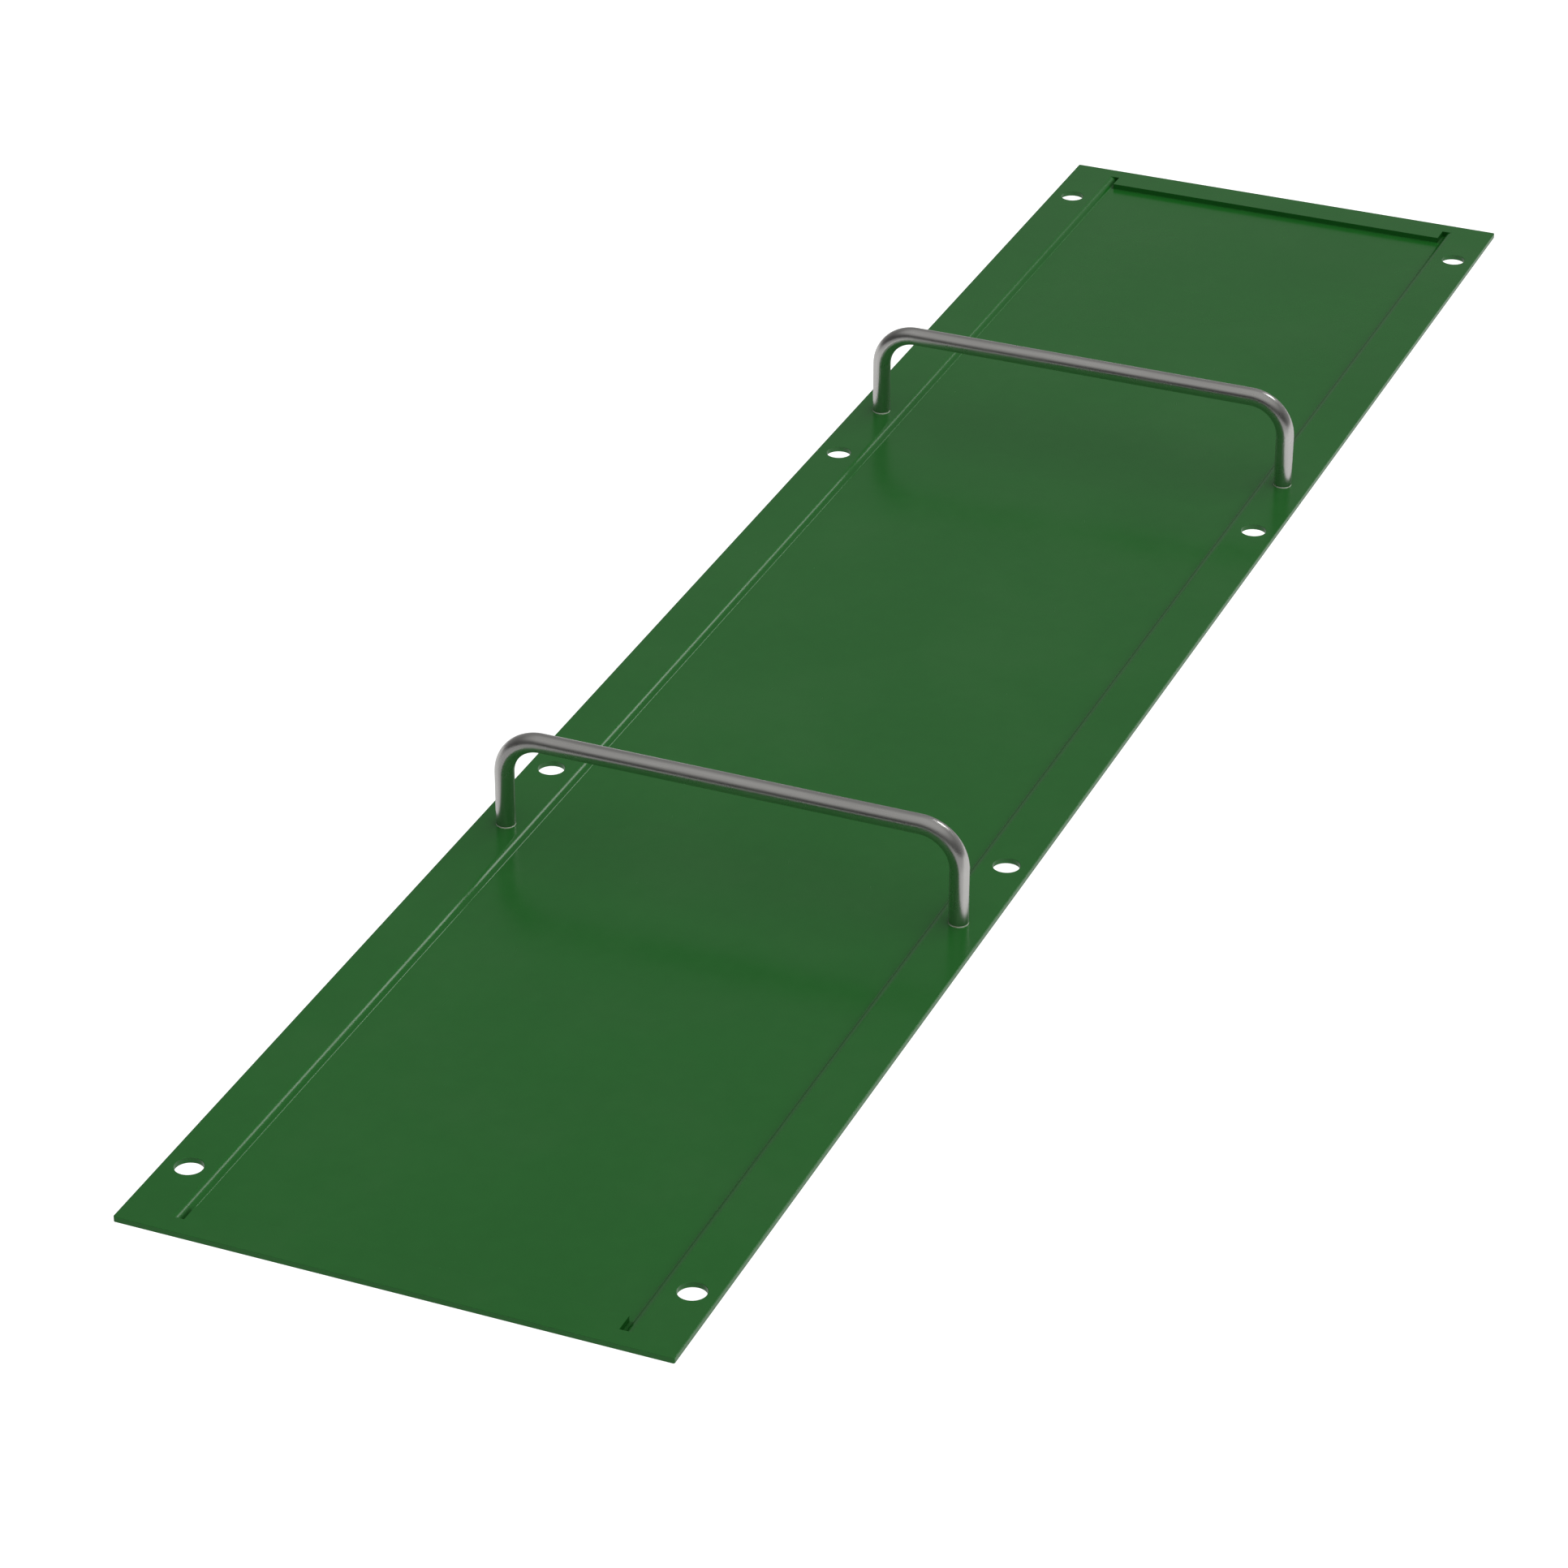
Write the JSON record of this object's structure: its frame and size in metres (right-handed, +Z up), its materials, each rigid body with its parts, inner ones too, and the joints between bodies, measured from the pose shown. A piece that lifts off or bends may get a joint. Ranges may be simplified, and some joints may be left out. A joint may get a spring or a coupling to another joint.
{
  "type": "bench seat panel",
  "caption": "Long flat pressed-steel seat panel for a backless bench, with a shallow recessed middle, open bolt holes along both rims and low round bent arm bars across the seat.",
  "frame": {"origin": "middle of the panel, on the underside of its flat rim, which is the face that lies on the supports", "axes": "+X along the bench, +Y across it, +Z up"},
  "size_m": [2, 0.434, 0.1029],
  "materials": {
    "green_powder_coat": "semi-gloss powder coat",
    "stainless_bar": "satin ground",
    "nylon": "natural, slightly translucent",
    "stainless_fastener": "bright rolled"
  },
  "bodies": {
    "root": {"seat_panel": "green_powder_coat", "armrest_left": "stainless_bar", "armrest_right": "stainless_bar", "foot_ring_left_front": "nylon", "foot_ring_left_rear": "nylon", "foot_ring_right_front": "nylon", "foot_ring_right_rear": "nylon", "flat_washer_left_front": "stainless_fastener", "flat_washer_left_rear": "stainless_fastener", "flat_washer_right_front": "stainless_fastener", "flat_washer_right_rear": "stainless_fastener", "spring_washer_left_front": "stainless_fastener", "spring_washer_left_rear": "stainless_fastener", "spring_washer_right_front": "stainless_fastener", "spring_washer_right_rear": "stainless_fastener", "foot_screw_left_front": "stainless_fastener", "foot_screw_left_rear": "stainless_fastener", "foot_screw_right_front": "stainless_fastener", "foot_screw_right_rear": "stainless_fastener"}
  },
  "joints": []
}
